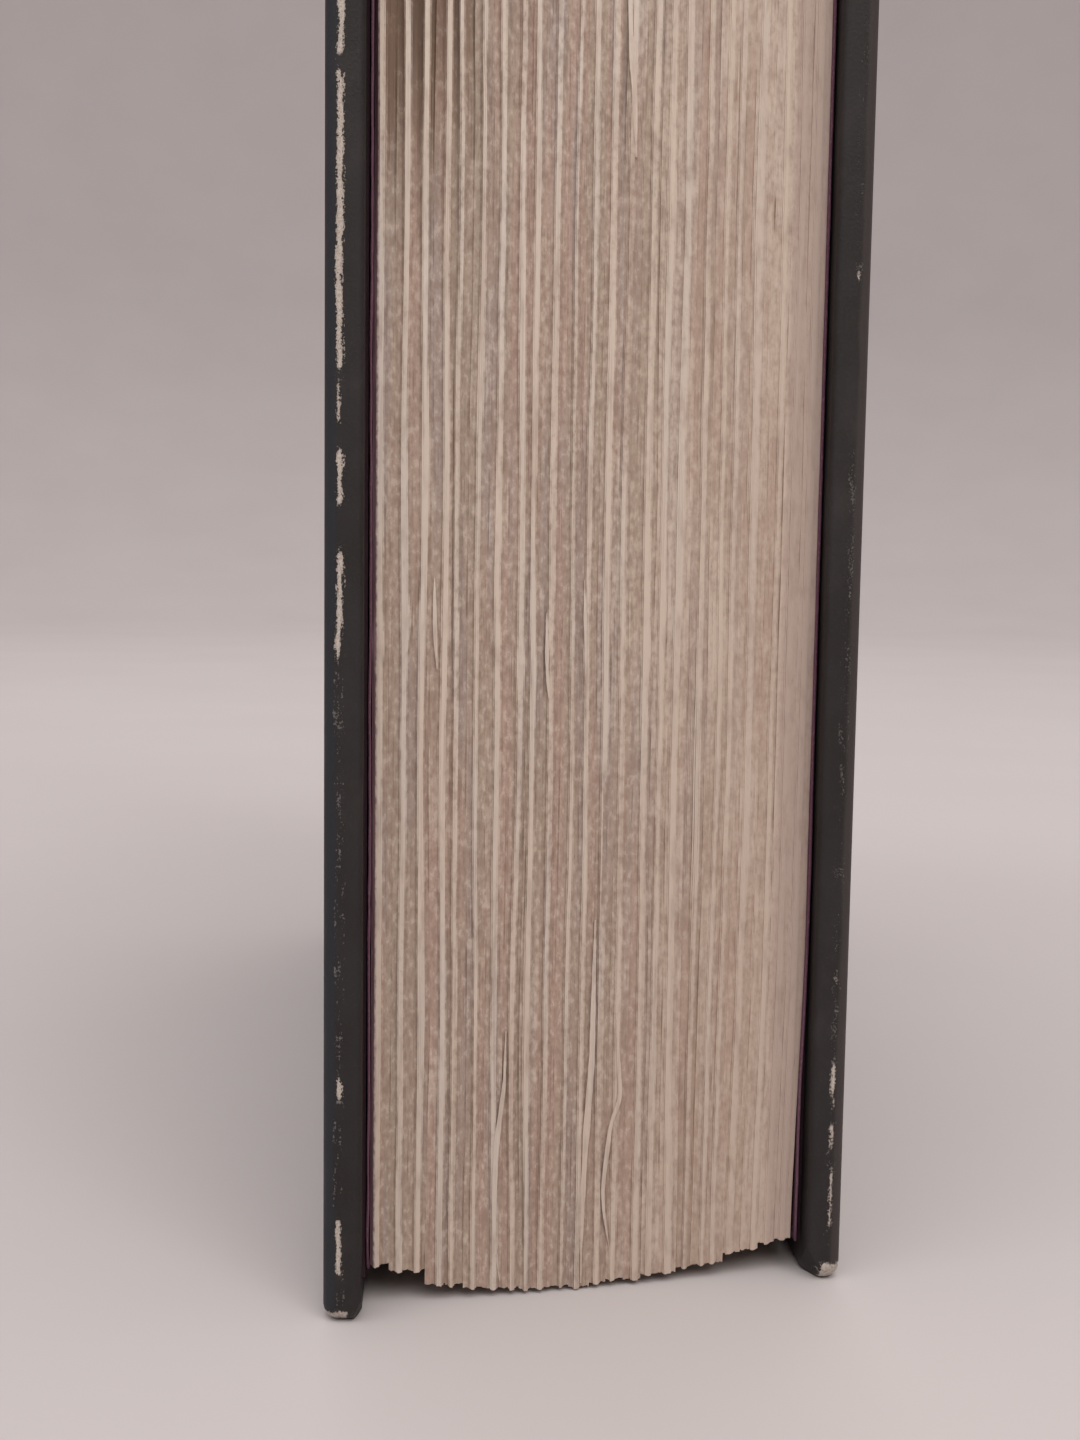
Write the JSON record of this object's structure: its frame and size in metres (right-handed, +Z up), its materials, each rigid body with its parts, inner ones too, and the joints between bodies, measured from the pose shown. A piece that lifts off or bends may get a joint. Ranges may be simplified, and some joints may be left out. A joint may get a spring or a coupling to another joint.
{
  "type": "hardcover book",
  "caption": "Thick cased hardcover book standing on its tail, with rough-cut leaves and two covers that open.",
  "frame": {"origin": "on the surface that the book stands on, under the middle of its bounding box", "axes": "+Z up to the head, -Y towards the fore edge, -X towards the front cover"},
  "size_m": [0.0484, 0.168, 0.241],
  "materials": {
    "cover_cloth": "matte",
    "board": "matte",
    "pages": "matte",
    "endpaper": "matte",
    "mull": "matte",
    "lining": "matte",
    "headband": "matte",
    "inlay": "matte"
  },
  "bodies": {
    "block": {"text_block": "pages", "front_flyleaf": "endpaper", "back_flyleaf": "endpaper", "spine_mull": "mull", "spine_lining": "lining", "head_band": "headband", "tail_band": "headband", "spine_inlay": "inlay", "spine_covering": "cover_cloth"},
    "front_cover": {"front_board": "board", "front_covering": "cover_cloth", "front_pastedown": "endpaper", "front_mull_flange": "mull"},
    "back_cover": {"back_board": "board", "back_covering": "cover_cloth", "back_pastedown": "endpaper", "back_mull_flange": "mull"}
  },
  "joints": [
    {"name": "front_cover_hinge", "type": "hinge", "parent": "block", "child": "front_cover", "pos_m": [-0.02445, 0.07097, 0.1205], "axis": [0, 0, -1], "range_deg": [0, 180]},
    {"name": "back_cover_hinge", "type": "hinge", "parent": "block", "child": "back_cover", "pos_m": [0.02445, 0.07797, 0.1205], "axis": [0, 0, 1], "range_deg": [0, 180]}
  ]
}
